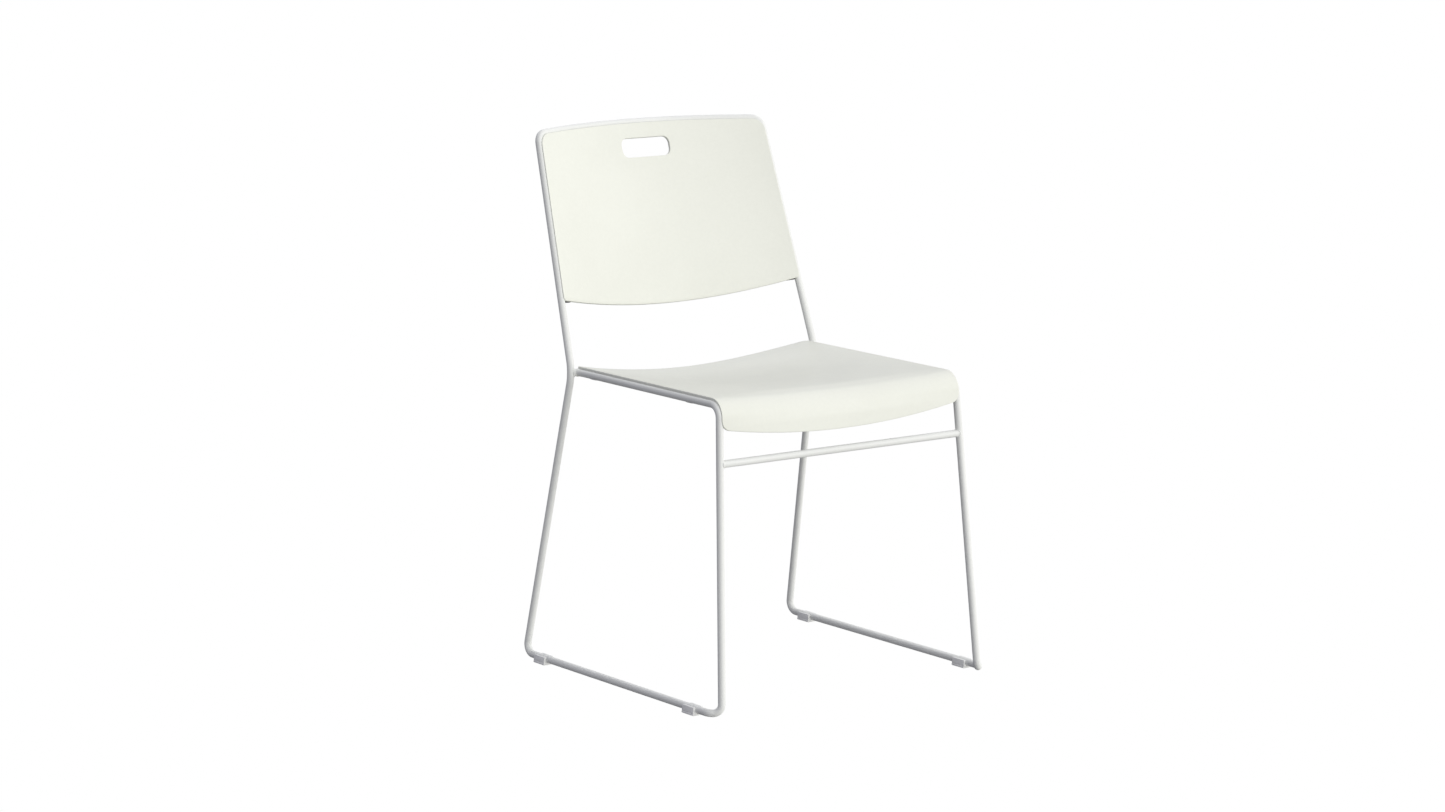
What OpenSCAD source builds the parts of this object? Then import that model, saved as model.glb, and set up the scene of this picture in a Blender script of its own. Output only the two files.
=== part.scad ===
// Sled-base stacking chair: a bent steel-rod frame that carries a dished seat shell and a
// concave back shell. Origin on the floor at the middle of the footprint; +X right, front at -Y.

/* [Frame rod] */
// Diameter of the round steel rod
rod_d = 11; // [10:0.5:12]
// Gap under the runner rod, taken up by the glides' bases
floor_gap = 3; // [2:0.5:5]

/* [Side frame] */
// Distance between the centrelines of the two seat rails
rail_gauge = 434.4; // [420:0.2:450]
// Distance between the centrelines of the two floor runners
runner_gauge = 504.4; // [490:0.2:520]
// Distance between the knees, where each rear leg turns into an upright
knee_gauge = 457; // [450:1:465]
// Distance between the feet of the two front legs
front_foot_gauge = 475.8; // [465:0.2:485]
// Height of the seat rails at the front bend
rail_front_z = 451; // [440:1:465]
// Height of the seat rails at the rear end
rail_rear_z = 452.4; // [445:0.2:465]
// Height of the knees
knee_z = 451.7; // [445:0.1:460]
// Front bend of the seat rail, measured along Y
seat_front_y = -240.6; // [-250:0.1:-230]
// Foot of the front leg, measured along Y
front_foot_y = -274.9; // [-285:0.1:-265]
// How far behind the front foot the rod joins the straight runner
foot_turn = 13.5; // [13:0.1:16]
// Foot of the rear leg, measured along Y
rear_foot_y = 215.7; // [205:0.1:225]
// Knee, measured along Y
knee_y = 121.4; // [115:0.1:130]
// Bend radius at the front of the seat
seat_bend_r = 20; // [17:1:30]
// Bend radius of the knee
knee_bend_r = 70; // [60:5:85]
// Bend radius of the rear foot
rear_foot_r = 15; // [13:1:30]
// Height of the front crossbar
crossbar_z = 366.8; // [340:1:390]

/* [Back] */
// Lean of the uprights from the vertical, in degrees
back_lean = 18.4; // [12:0.1:22]
// Inward tilt of each upright, in degrees
upright_toe_in = 2.97; // [1:0.01:5]
// Length of the uprights from the knee to the top corners
upright_len = 368.4; // [350:0.1:390]
// Bend radius of the top corners
top_corner_r = 18; // [14:1:22]
// How deep the back is curved, at its top
back_sag = 32; // [24:1:36]
// How far the middle of the top edge stands above its corners
top_arch = 14.2; // [10:0.1:18]
// Height of the back shell's lower corners above the knees, along the lean
back_low = 110; // [100:1:130]
// How far the middle of the lower edge hangs below its corners
low_bow = 14; // [8:1:18]
// Width of the hand hole
hole_w = 89; // [70:1:100]
// Height of the hand hole
hole_h = 30; // [24:1:36]
// Middle of the hand hole above the knees, along the lean
hole_s = 341; // [325:1:345]

/* [Shells] */
// Thickness of both plastic shells
shell_t = 4; // [3.6:0.1:4]
// How far the seat shell's face stands off the front legs' centrelines, on the apron
shell_off = 7.2; // [7:0.1:8]
// How far the seat shell's edges reach past the rod's centreline
edge_over = 0.4; // [0:0.1:2]
// How far the back shell's front face stands off the rod's centreline
back_off = 7.3; // [7:0.1:7.8]
// How far the back shell's sides stand inside the uprights' centrelines
back_in = 1; // [0.6:0.1:1.6]
// How far the back shell's top edge stands below the top rod's centreline
top_in = 2.6; // [2:0.1:3]
// Depth of the dish at the rear of the seat
dish_rear = 25; // [15:1:28]
// Depth of the dish where the seat starts to turn down
dish_front = 3; // [0:1:6]
// Rear corners of the seat, measured along Y
seat_rear_y = 126; // [122:0.5:130]
// How far the middle of the seat's rear edge stands behind its corners
rear_bow = 25; // [10:1:28]
// How much more the front edge is rounded off in its middle than at the rods
front_ease = 5; // [0:1:8]
// Depth of the apron at its sides, below the rails
apron_side = 35; // [30:1:45]
// How far the middle of the apron hangs below its sides
apron_bow = 19; // [10:1:25]

/* [Glides] */
// Length of a glide
glide_l = 28; // [24:1:32]
// Width of a glide at the floor
glide_w = 19; // [18:1:22]
// Height of a glide
glide_h = 12.5; // [11:0.5:13]

/* [Hidden] */

rod_r = rod_d / 2;
runner_z = floor_gap + rod_r;
rail_bite = 2;                       // how far a rail's end is let into the rear crossbar
bar_short = 1;                       // how far the crossbars' ends stop before the rods' centrelines
fit_gap = 0.3;                       // air between a shell and the rod that it wraps
joint_gap = 0.05;                    // air between screws and the holes that they pass through
rod_fn = 48;
steel = "#e9e9e6";
plastic = "#f1f2ea";
glide_white = "#fafaf8";
black = "#161616";

// ---- rod path: corner points of the right-hand half, with a bend radius for each ----
knee = [knee_gauge / 2, knee_y, knee_z];
rail_front = [rail_gauge / 2, seat_front_y, rail_front_z];
front_foot = [front_foot_gauge / 2, front_foot_y, runner_z];
runner_front = [runner_gauge / 2, front_foot_y + foot_turn, runner_z];
rear_foot = [runner_gauge / 2, rear_foot_y, runner_z];
foot_bend_r = 13;
foot_turn_r = 14;

// The back's own axes: x across, n square to the back and to the rear, s up along the lean
function back_point(x, n, s) = [x,
    knee_y + s * sin(back_lean) + n * cos(back_lean),
    knee_z + s * cos(back_lean) - n * sin(back_lean)];
function upright_x(s) = knee_gauge / 2 - s * tan(upright_toe_in);
top_x = upright_x(upright_len);
top_corner = back_point(top_x, 0, upright_len);
// Middle of the knee bend, where the rear crossbar meets the rod
function bend_middle(a, p, b, r) = p + unit(unit(a - p) + unit(b - p)) * r * (1 / cos(turn(a, p, b) / 2) - 1);
knee_mid = bend_middle(rear_foot, knee, top_corner, knee_bend_r);
rail_end = [rail_gauge / 2, knee_mid.y - rod_r + rail_bite, rail_rear_z];
// The two halves of the top rod would meet here if they ran straight on from the corners
top_meet = back_point(0, 2 * back_sag, upright_len + 2 * top_arch);

function unit(v) = v / norm(v);
function turn(a, p, b) = acos(unit(p - a) * unit(b - p));
function setback(a, p, b, r) = r * tan(turn(a, p, b) / 2);
// The top rod is one arc from corner to corner, as wide as the corner bends leave room for
top_mirror = [-top_corner.x, top_corner.y, top_corner.z];
corner_setback = setback(knee, top_corner, top_meet, top_corner_r);
top_half_turn = turn(top_corner, top_meet, top_mirror) / 2;
top_arc_r = (norm(top_meet - top_corner) - corner_setback - 0.5) / tan(top_half_turn);

path = [rail_end, rail_front, front_foot, runner_front, rear_foot, knee, top_corner, top_meet];
bends = [0, seat_bend_r, foot_bend_r, foot_turn_r, rear_foot_r, knee_bend_r, top_corner_r, top_arc_r];

// Turns the axes so that local X lies along u and local Z along w
module oriented(at, u, w) {
    v = cross(w, u);
    translate(at)
        multmatrix([[u.x, v.x, w.x, 0], [u.y, v.y, w.y, 0], [u.z, v.z, w.z, 0], [0, 0, 0, 1]])
            children();
}

module rod_straight(p, q) {
    w = unit(q - p);
    u = unit(cross(w, abs(w.z) < 0.9 ? [0, 0, 1] : [1, 0, 0]));
    oriented(p, u, w) cylinder(h = norm(q - p), r = rod_r, $fn = rod_fn);
}

// The bend at corner p between a and b
module rod_bend(a, p, b, bend_r) {
    din = unit(p - a);
    w = unit(cross(din, unit(b - p)));
    inward = cross(w, din);
    oriented(p - din * setback(a, p, b, bend_r) + inward * bend_r, -inward, w)
        rotate_extrude(angle = turn(a, p, b), $fn = 96)
            translate([bend_r, 0]) circle(r = rod_r, $fn = rod_fn);
}

// ---- the bent rod itself: one solid, swept along the straights and bends of the path ----
rod_sides = 24;
bend_step = 7.5;                     // degrees of turn between rings in a bend
last = len(path) - 1;
function corner_after(i) = i < last ? path[i + 1] : top_mirror;
// Rings of the bend at p as [centre, direction], over the given share of its turn
function bend_rings(a, p, b, r, share = 1, least = 6) = let (
        din = unit(p - a),
        w = unit(cross(din, unit(b - p))),
        inward = cross(w, din),
        centre = p - din * setback(a, p, b, r) + inward * r,
        sweep = turn(a, p, b) * share,
        steps = max(least, ceil(sweep / bend_step)))
    [for (k = [0:steps]) let (g = sweep * k / steps)
        [centre + (din * sin(g) - inward * cos(g)) * r, din * cos(g) + inward * sin(g)]];
// The last bend of a half frame stops halfway, at the middle of the back
rings = concat(
    [[rail_end, unit(rail_front - rail_end)]],
    [for (i = [1:last]) each
        bend_rings(path[i - 1], path[i], corner_after(i), bends[i], i < last ? 1 : 0.5)]);
// A side direction carried from ring to ring, so that the facets don't twist
function across_dir(u, dir) = unit(u - dir * (u * dir));
function carried(rings, side) = [for (i = 0, u = side; i < len(rings); i = i + 1,
        u = i < len(rings) ? across_dir(u, rings[i][1]) : u) across_dir(u, rings[i][1])];

// A round bar through rings of [centre, direction]; sides holds each ring's zero direction
module tube(rings, sides, r = rod_r) {
    n = rod_sides;
    m = len(rings);
    points = [for (i = [0:m - 1]) let (u = sides[i], v = cross(rings[i][1], u))
        for (k = [0:n - 1]) rings[i][0] + (u * cos(360 * k / n) + v * sin(360 * k / n)) * r];
    faces = concat(
        [[for (k = [0:n - 1]) k]],
        [for (i = [0:m - 2]) for (k = [0:n - 1]) let (l = (k + 1) % n) each
            [[i * n + k, (i + 1) * n + l, i * n + l], [i * n + k, (i + 1) * n + k, (i + 1) * n + l]]],
        [[for (k = [0:n - 1]) m * n - 1 - k]]);
    polyhedron(points = points, faces = faces, convexity = 10);
}

module on_side(side) {
    if (side > 0) children();
    else mirror([1, 0, 0]) children();
}

// ---- crossbars ----
// The rear crossbar leaves the knees level and hangs in a shallow arc under the seat's dish
rear_bar_sag = dish_rear + fit_gap;
bar_blend = 6;                       // half the length over which it turns down
bar_steps = 44;
function bar_drop(x) = let (
        e = rail_end.x - abs(x),
        s = e > bar_blend ? e : e < -bar_blend ? 0 : pow(e + bar_blend, 2) / (4 * bar_blend),
        u = 1 - s / rail_end.x)
    rear_bar_sag * (1 - u * u);
// Stations crowd together towards the ends, where the bar turns down
function bar_x(i) = let (u = 2 * i / bar_steps - 1) (knee_mid.x - bar_short) * (u + sin(90 * u)) / 2;
function bar_point(x) = [x, knee_mid.y, knee_z - bar_drop(x)];
bar_rings = [for (i = [0:bar_steps]) let (x = bar_x(i))
    [bar_point(x), unit(bar_point(x + 0.5) - bar_point(x - 0.5))]];
bar_sides = [for (ring = bar_rings) [0, 1, 0]];

module frame_rod(side) {
    color(steel) on_side(side) tube(rings, carried(rings, [0, 0, 1]));
}

function on_leg(z) = rail_front + (front_foot - rail_front) * (rail_front_z - z) / (rail_front_z - runner_z);

module front_crossbar() {
    end = on_leg(crossbar_z) - [bar_short, 0, 0];
    color(steel) difference() {
        rod_straight([-end.x, end.y, end.z], end);
        for (side = [-1, 1]) on_side(side) rod_straight(rail_front, front_foot);
    }
}

module rear_crossbar() {
    color(steel) difference() {
        tube(bar_rings, bar_sides);
        for (side = [-1, 1]) on_side(side) {
            rod_bend(rear_foot, knee, top_corner, knee_bend_r);
            rod_straight(rail_end, rail_front);
        }
    }
}

// ---- seat shell: a strip swept over the rails, round the front bend and down the legs ----
leg_angle = atan2(rail_front_z - runner_z, rail_front.y - front_foot.y);
rail_angle = atan2(rail_rear_z - rail_front_z, rail_end.y - seat_front_y);
seat_turn = leg_angle + rail_angle;
seat_setback = seat_bend_r * tan(seat_turn / 2);
bend_start = seat_setback;                        // distances along the rod, from the front corner
bend_len = seat_bend_r * seat_turn * PI / 180;
rail_len = norm(rail_end - rail_front) - bend_start;
seat_steps = 20;
bend_steps = 8;
apron_steps = 6;

// Point and outward normal of the rod's centreline in the YZ plane, at distance d past the
// start of the front bend (negative on the rail)
rail_dir = [-cos(rail_angle), -sin(rail_angle)];
rail_out = [-sin(rail_angle), cos(rail_angle)];
bend_at = [seat_front_y, rail_front_z] - rail_dir * bend_start;
function dir_at(a) = rail_dir * cos(a) - rail_out * sin(a);
function out_at(a) = rail_out * cos(a) + rail_dir * sin(a);
function seat_angle(d) = max(0, min(seat_turn, d / bend_len * seat_turn));
function seat_at(d) =
    d <= 0 ? bend_at + rail_dir * d :
    let (a = seat_angle(d),
        p = bend_at - rail_out * seat_bend_r + out_at(a) * seat_bend_r)
    d <= bend_len ? p : p + dir_at(a) * (d - bend_len);
// The rod's distance from the middle at d: straight on the rail, spreading down the leg
leg_spread = (front_foot.x - rail_front.x) / norm(front_foot - rail_front);
function seat_rod_x(d) = rail_gauge / 2 + max(0, d - bend_len / 2) * leg_spread;

function smooth(u) = let (v = max(0, min(1, u))) v * v * (3 - 2 * v);
ease_len = 16;                                    // the eased front edge starts this far before the bend
function ease_at(d) = let (v = min(1, abs(d - bend_len / 2) / (bend_len / 2 + ease_len)))
    front_ease * pow(1 - v * v, 2);
// Depth of the seat's dish in its middle
function dish_at(d) = dish_front * max(0, min(1, 1 - d / bend_len))
    + (dish_rear - dish_front) * smooth(-d / rail_len) + ease_at(d);

// The shell's top face stands high enough on the rails to pass over the crossbar at the rear, and
// comes down to the apron's level through the front bend
over_bar = knee_z + rod_r + fit_gap + shell_t - rail_rear_z;
function off_at(d) = over_bar + (shell_off - over_bar) * smooth(d / bend_len);

seat_corner_r = 10;
apron_corner_r = 14;
function corner_cut(x, half, r) = let (e = max(0, x - (half - r))) r - sqrt(max(0, r * r - e * e));
seat_half = rail_gauge / 2 + edge_over;
apron_half = seat_rod_x(bend_len + apron_side) + edge_over;
function rear_end(t) = (bend_at[0] - seat_rear_y) / cos(rail_angle) - rear_bow * (1 - pow(abs(t), 3))
    + corner_cut(abs(t) * seat_half, seat_half, seat_corner_r);
apron_end_d = bend_len + apron_side - seat_setback;
function front_end(t) = apron_end_d + apron_bow * (1 - t * t)
    - corner_cut(abs(t) * apron_half, apron_half, apron_corner_r);

// Stations across: even over the middle, closer together over the rods
mid_cols = 14;
edge_cols = 7;
edge_zone = rod_r + fit_gap + edge_over;
edge_t = 1 - 1.15 * edge_zone / seat_half;
across = concat(
    [for (i = [0:edge_cols - 1]) -1 + (1 - edge_t) * i / edge_cols],
    [for (i = [0:mid_cols]) -edge_t + 2 * edge_t * i / mid_cols],
    [for (i = [1:edge_cols]) edge_t + (1 - edge_t) * i / edge_cols]);
rows = seat_steps + bend_steps + apron_steps;
function row_d(j, t) =
    j <= seat_steps ? rear_end(t) * (1 - pow(j / seat_steps, 1.5)) :
    j <= seat_steps + bend_steps ? bend_len * (j - seat_steps) / bend_steps :
    bend_len + (front_end(t) - bend_len) * (j - seat_steps - bend_steps) / apron_steps;

groove_r = rod_r + fit_gap;
// Depth of the shell's underside below its edge level at x: its thickness, less the rod's seat
function under_depth(x, rod_x, dish, off) = let (e = abs(x) - rod_x)
    abs(e) < groove_r ? min(dish + shell_t, off - sqrt(groove_r * groove_r - e * e)) : dish + shell_t;

function seat_point(j, t, under) = let (
        d = row_d(j, t),
        rod_x = seat_rod_x(d),
        x = t * (rod_x + edge_over),
        dish = dish_at(d) * (1 - t * t),
        depth = under ? under_depth(x, rod_x, dish, off_at(d)) : dish,
        q = seat_at(d) + out_at(seat_angle(d)) * (off_at(d) - depth))
    [x, q[0], q[1]];

module seat_skin() {
    skin([for (j = [0:rows]) for (t = across) seat_point(j, t, false)],
        [for (j = [0:rows]) for (t = across) seat_point(j, t, true)], len(across), rows + 1);
}

// ---- seat fixings: a steel tab welded inside each rail, a boss on the shell, a screw from below ----
tab_t = 2.5;
tab_w = 18;
tab_l = 22;
tab_in = 5;                                       // a tab reaches this far inwards of its screw
tab_drop = 4.5;                                   // tab's middle below the rail's centreline
screw_in = 14;                                    // screws stand this far inside the rails
screw_x = rail_gauge / 2 - screw_in;
screw_r = 2;
screw_head_r = 4;
screw_head_h = 2.4;
screw_len = 8;
boss_r = 5;
boss_skin = 1.2;                                  // plastic left above a boss's blind end
front_tab_y = -165.6;
rear_tab_y = 81.4;
function rail_z(y) = rail_front_z + (y - seat_front_y) * tan(rail_angle);

module at_seat_fixing(side, y) {
    on_side(side) translate([screw_x, y, rail_z(y) - tab_drop]) children();
}

module seat_tab(side, y) {
    color(steel) difference() {
        at_seat_fixing(side, y) translate([-tab_in, -tab_l / 2, -tab_t / 2]) cube([tab_w, tab_l, tab_t]);
        on_side(side) rod_straight(rail_end, rail_front);
        at_seat_fixing(side, y) cylinder(h = 4 * tab_t, r = screw_r + joint_gap, center = true, $fn = 32);
    }
}

module seat_bosses() {
    for (side = [-1, 1]) for (y = [front_tab_y, rear_tab_y])
        at_seat_fixing(side, y) difference() {
            translate([0, 0, tab_t / 2 + joint_gap]) cylinder(h = boss_top(y), r = boss_r, $fn = 24);
            cylinder(h = screw_len, r = screw_r + joint_gap, $fn = 32);
        }
}
// Bosses run up into the shell and stop short of its top face
function boss_top(y) = tab_drop + over_bar - boss_skin - tab_t / 2 - joint_gap
    - dish_at(-(y - bend_at[0]) / cos(rail_angle)) * (1 - pow(screw_x / seat_half, 2));

module seat_shell() {
    color(plastic) union() {
        seat_skin();
        seat_bosses();
    }
}

module seat_screws() {
    color("silver") for (side = [-1, 1]) for (y = [front_tab_y, rear_tab_y])
        at_seat_fixing(side, y) {
            translate([0, 0, -tab_t / 2 - screw_head_h])
                cylinder(h = screw_head_h, r = screw_head_r, $fn = 32);
            translate([0, 0, -tab_t / 2]) cylinder(h = screw_len - joint_gap, r = screw_r, $fn = 32);
        }
}

// ---- back shell: a skin on a wide cylinder, cut to its outline, with a seat for the rods ----
module in_back() {
    translate([0, knee_y, knee_z]) rotate([-back_lean, 0, 0]) children();
}

back_curve_r = (pow(top_x, 2) + pow(back_sag, 2)) / (2 * back_sag);
top_outline_r = top_corner_r - (back_in + top_in) / 2;
low_outline_r = 5;
back_cols = 36;
back_rows = 10;

function arch(t, rise) = rise * (1 - t * t);
function back_half(s) = upright_x(s) - back_in;
top_s = upright_len - top_in;
// Height s of the arched top edge and of the bowed lower edge, at the share t of the half width
function top_edge(t) = let (half = back_half(top_s))
    top_s + arch(t, top_arch) - corner_cut(abs(t) * half, half, top_outline_r);
function low_edge(t) = let (half = back_half(back_low))
    back_low - arch(t, low_bow) + corner_cut(abs(t) * half, half, low_outline_r);
// Columns crowd together towards the rounded corners
function back_t(i) = let (u = 2 * i / back_cols - 1) sin(90 * u) * 0.55 + sin(90 * sin(90 * u)) * 0.45;
// Both faces are arcs about one axis, which shifts with s so that the edges follow the splayed uprights
function back_axis_n(s) = -back_off - sqrt(pow(back_curve_r, 2) - pow(upright_x(s), 2));
function face_n(x, s, r) = back_axis_n(s) + sqrt(r * r - x * x);
function skin_point(i, j, r) = let (
        t = back_t(i),
        s = low_edge(t) + (top_edge(t) - low_edge(t)) * j / back_rows,
        x = t * back_half(s))
    back_point(x, face_n(x, s, r), s);

module rounded_slot(w, h, r) {
    square([w - 2 * r, h], center = true);
    square([w, h - 2 * r], center = true);
    for (x = [-1, 1]) for (y = [-1, 1])
        translate([x * (w / 2 - r), y * (h / 2 - r)]) circle(r = r, $fn = 48);
}

slice_y = 120;                                    // deeper than the shell's curve
hole_corner_r = 11;

// Closed skin between two grids of points, n across and m along, the second one behind the first
module skin(front, rear, n, m) {
    low = n * m;
    faces = concat(
        [for (j = [0:m - 2]) for (i = [0:n - 2]) let (k = j * n + i, l = k + n) each
            [[k, k + 1, l + 1], [k, l + 1, l],
             [low + k, low + l + 1, low + k + 1], [low + k, low + l, low + l + 1]]],
        [for (i = [0:n - 2]) let (k = (m - 1) * n + i) each
            [[i, low + i, low + i + 1], [i, low + i + 1, i + 1],
             [k, k + 1, low + k + 1], [k, low + k + 1, low + k]]],
        [for (j = [0:m - 2]) let (k = j * n, l = k + n, e = k + n - 1, f = l + n - 1) each
            [[k, l, low + l], [k, low + l, low + k],
             [e, low + f, f], [e, low + e, low + f]]]);
    polyhedron(points = concat(front, rear), faces = faces, convexity = 6);
}

module back_skin() {
    front = [for (j = [back_rows:-1:0]) for (i = [0:back_cols]) skin_point(i, j, back_curve_r)];
    rear = [for (j = [back_rows:-1:0]) for (i = [0:back_cols]) skin_point(i, j, back_curve_r + shell_t)];
    skin(front, rear, back_cols + 1, back_rows + 1);
}

// The rod's path round the back, from knee to knee, with the same rings as the two frame rods
knee_mirror = [-knee.x, knee.y, knee.z];
back_rings = concat(
    [[knee, unit(top_corner - knee)]],
    bend_rings(knee, top_corner, top_meet, top_corner_r),
    bend_rings(top_corner, top_meet, top_mirror, top_arc_r, 1, 12),
    bend_rings(top_meet, top_mirror, knee_mirror, top_corner_r),
    [[knee_mirror, unit(knee_mirror - top_mirror)]]);

// ---- back fixings: a steel tab behind each upright's top, a black clip behind its lower end ----
upper_tab_s = 300;
clip_s = back_low + 7.9;
clip_w = 18;
clip_h = 19;
clip_t = 7;
clip_in = 8.5;                                      // a clip reaches this far inwards of its screw
back_screw_in = 15;                               // screws stand this far inside the uprights
pad_gap = 0.4;                                    // air between the shell and the tabs and clips behind it
shank_sunk = 2;                                   // blind ends of the screw holes, behind the front face
function fix_x(s) = upright_x(s) - back_screw_in;
pad_z = shell_t + pad_gap;                        // front face of a tab or clip, behind the shell's front

// On the shell's front face at a fixing, with local Z square to the shell and to the rear
module at_back_fixing(side, s) {
    in_back() on_side(side) translate([fix_x(s), face_n(fix_x(s), s, back_curve_r), s])
        rotate([0, 0, -asin(fix_x(s) / back_curve_r)]) rotate([-90, 0, 0]) children();
}

// A plate behind the shell, let into the upright and drilled for its screw
module back_pad(side, s, inwards, w, l, t) {
    difference() {
        at_back_fixing(side, s) translate([-inwards, -l / 2, pad_z]) cube([w, l, t]);
        on_side(side) rod_straight(knee, top_corner);
        at_back_fixing(side, s)
            cylinder(h = 4 * back_screw_in, r = screw_r + joint_gap, center = true, $fn = 32);
    }
}

module back_tab(side) {
    color(steel) back_pad(side, upper_tab_s, tab_in, tab_w, tab_l, tab_t);
}

module back_clip(side) {
    color(black) back_pad(side, clip_s, clip_in, clip_w, clip_h, clip_t);
}

// A screw whose head bears on a pad of thickness t and whose shank runs forward into the shell
module back_screw(t) {
    head_z = pad_z + t;
    translate([0, 0, head_z]) cylinder(h = screw_head_h, r = screw_head_r, $fn = 32);
    translate([0, 0, shank_sunk])
        cylinder(h = head_z + screw_head_h / 2 - shank_sunk, r = screw_r, $fn = 32);
}

module back_screws() {
    color("silver") for (side = [-1, 1]) {
        at_back_fixing(side, upper_tab_s) back_screw(tab_t);
        at_back_fixing(side, clip_s) back_screw(clip_t);
    }
}

// A boss runs from inside the shell to the tab or clip behind it
module back_bosses() {
    for (side = [-1, 1]) for (s = [upper_tab_s, clip_s]) at_back_fixing(side, s)
        translate([0, 0, shank_sunk]) cylinder(h = pad_z - joint_gap - shank_sunk, r = boss_r, $fn = 24);
}

module back_shell() {
    color(plastic) difference() {
        union() {
            back_skin();
            back_bosses();
        }
        tube(back_rings, carried(back_rings, [0, 1, 0]), groove_r);
        in_back() translate([0, slice_y, hole_s]) rotate([90, 0, 0])
            linear_extrude(height = 2 * slice_y) rounded_slot(hole_w, hole_h, hole_corner_r);
        for (side = [-1, 1]) for (s = [upper_tab_s, clip_s]) at_back_fixing(side, s)
            translate([0, 0, shank_sunk - joint_gap]) cylinder(h = pad_z, r = screw_r + joint_gap, $fn = 32);
    }
}

// ---- glides: a push-on saddle that grips the runner, flat underneath ----
front_glide_y = -222;
rear_glide_y = 167.6;
glide_draft = 1.4;                                // each side leans in by this much
glide_mouth = 9;                                  // opening at the top, narrower than the rod

module glide(side, y) {
    color(glide_white) on_side(side) translate([runner_gauge / 2, y + glide_l / 2, 0]) rotate([90, 0, 0])
        linear_extrude(height = glide_l) difference() {
            polygon([[-glide_w / 2, 0], [glide_w / 2, 0],
                [glide_w / 2 - glide_draft, glide_h], [glide_draft - glide_w / 2, glide_h]]);
            translate([0, runner_z]) circle(r = rod_r, $fn = rod_fn);
            translate([-glide_mouth / 2, runner_z]) square([glide_mouth, glide_h]);
        }
}

frame_rod(-1);  // left_frame_rod
frame_rod(1);  // right_frame_rod
front_crossbar();
rear_crossbar();
seat_shell();
back_shell();
glide(-1, front_glide_y);  // front_left_glide
glide(1, front_glide_y);  // front_right_glide
glide(-1, rear_glide_y);  // rear_left_glide
glide(1, rear_glide_y);  // rear_right_glide
seat_tab(-1, front_tab_y);  // front_left_seat_tab
seat_tab(1, front_tab_y);  // front_right_seat_tab
seat_tab(-1, rear_tab_y);  // rear_left_seat_tab
seat_tab(1, rear_tab_y);  // rear_right_seat_tab
back_tab(-1);  // upper_left_back_tab
back_tab(1);  // upper_right_back_tab
back_clip(-1);  // lower_left_back_clip
back_clip(1);  // lower_right_back_clip
seat_screws();
back_screws();
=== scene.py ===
"""Looks of the stacking chair: swept steel rods with weld beads, moulded shells with rounded
lips and a hand hole, push-on glides, tabs, clips and screws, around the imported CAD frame."""

import math

import bmesh
import bpy
import numpy as np
from mathutils import Matrix, Vector


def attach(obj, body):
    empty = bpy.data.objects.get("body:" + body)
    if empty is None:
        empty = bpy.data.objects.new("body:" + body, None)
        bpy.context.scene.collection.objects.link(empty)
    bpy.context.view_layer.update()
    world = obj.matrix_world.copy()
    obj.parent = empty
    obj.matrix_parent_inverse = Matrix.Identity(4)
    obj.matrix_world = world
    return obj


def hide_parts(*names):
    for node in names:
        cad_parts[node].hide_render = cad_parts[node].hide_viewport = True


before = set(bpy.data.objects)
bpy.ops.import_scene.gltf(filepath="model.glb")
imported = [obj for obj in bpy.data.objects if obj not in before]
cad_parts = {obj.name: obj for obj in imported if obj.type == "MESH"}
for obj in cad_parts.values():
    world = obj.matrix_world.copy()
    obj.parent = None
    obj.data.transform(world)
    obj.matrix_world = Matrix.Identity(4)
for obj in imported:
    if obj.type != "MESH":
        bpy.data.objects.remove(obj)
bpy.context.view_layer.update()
scene = bpy.context.scene

# ---------------------------------------------------------------- dimensions, in millimetres, as in the CAD
ROD_R = 5.5
FLOOR_GAP = 3.0
RAIL_X = 217.2
RUNNER_X = 252.2
KNEE_X = 228.5
FRONT_FOOT_X = 237.9
RAIL_FRONT_Z, RAIL_REAR_Z, KNEE_Z = 451.0, 452.4, 451.7
SEAT_FRONT_Y, FRONT_FOOT_Y, REAR_FOOT_Y, KNEE_Y = -240.6, -274.9, 215.7, 121.4
FOOT_TURN = 13.5
SEAT_BEND_R, KNEE_BEND_R, REAR_FOOT_R, FOOT_BEND_R, FOOT_TURN_R = 20.0, 70.0, 15.0, 13.0, 14.0
CROSSBAR_Z = 366.8
RAIL_BITE = 2.0
LEAN = math.radians(18.4)
TOE_IN = math.tan(math.radians(2.97))
UPRIGHT = 368.4
TOP_CORNER_R = 18.0
BACK_SAG, TOP_ARCH = 32.0, 14.2
BACK_LOW, LOW_BOW = 110.0, 14.0
HOLE_W, HOLE_H, HOLE_S, HOLE_R = 89.0, 30.0, 341.0, 11.0
SHELL_T, SHELL_OFF, EDGE_OVER = 4.0, 7.2, 0.4
DISH_REAR, DISH_FRONT = 25.0, 3.0
SEAT_REAR_Y, REAR_BOW = 126.0, 25.0
FRONT_EASE, EASE_LEN = 5.0, 16.0
APRON_SIDE, APRON_BOW = 35.0, 19.0
SEAT_CORNER_R, APRON_CORNER_R = 10.0, 14.0
BACK_OFF, BACK_IN, TOP_IN = 7.3, 1.0, 2.6
TOP_OUTLINE_R, LOW_OUTLINE_R = TOP_CORNER_R - (BACK_IN + TOP_IN) / 2, 5.0
FIT_GAP, JOINT_GAP = 0.3, 0.05  # air between the shells and the rods, and at the closer joints
GROOVE_R = ROD_R + FIT_GAP
GLIDE_L, GLIDE_W, GLIDE_H, GLIDE_DRAFT, GLIDE_MOUTH = 28.0, 19.0, 12.5, 1.4, 9.0
FRONT_GLIDE_Y, REAR_GLIDE_Y = -222.0, 167.6
FRONT_TAB_Y, REAR_TAB_Y = -165.6, 81.4
UPPER_TAB_S, CLIP_S = 300.0, BACK_LOW + 7.9
SCREW_R, SCREW_HEAD_R, SCREW_HEAD_H = 2.0, 4.0, 2.4
SCREW_HOLE_R, BOSS_R = 2.1, 5.0
SCREW_SIDES, BOSS_SIDES = 36, 32
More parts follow.
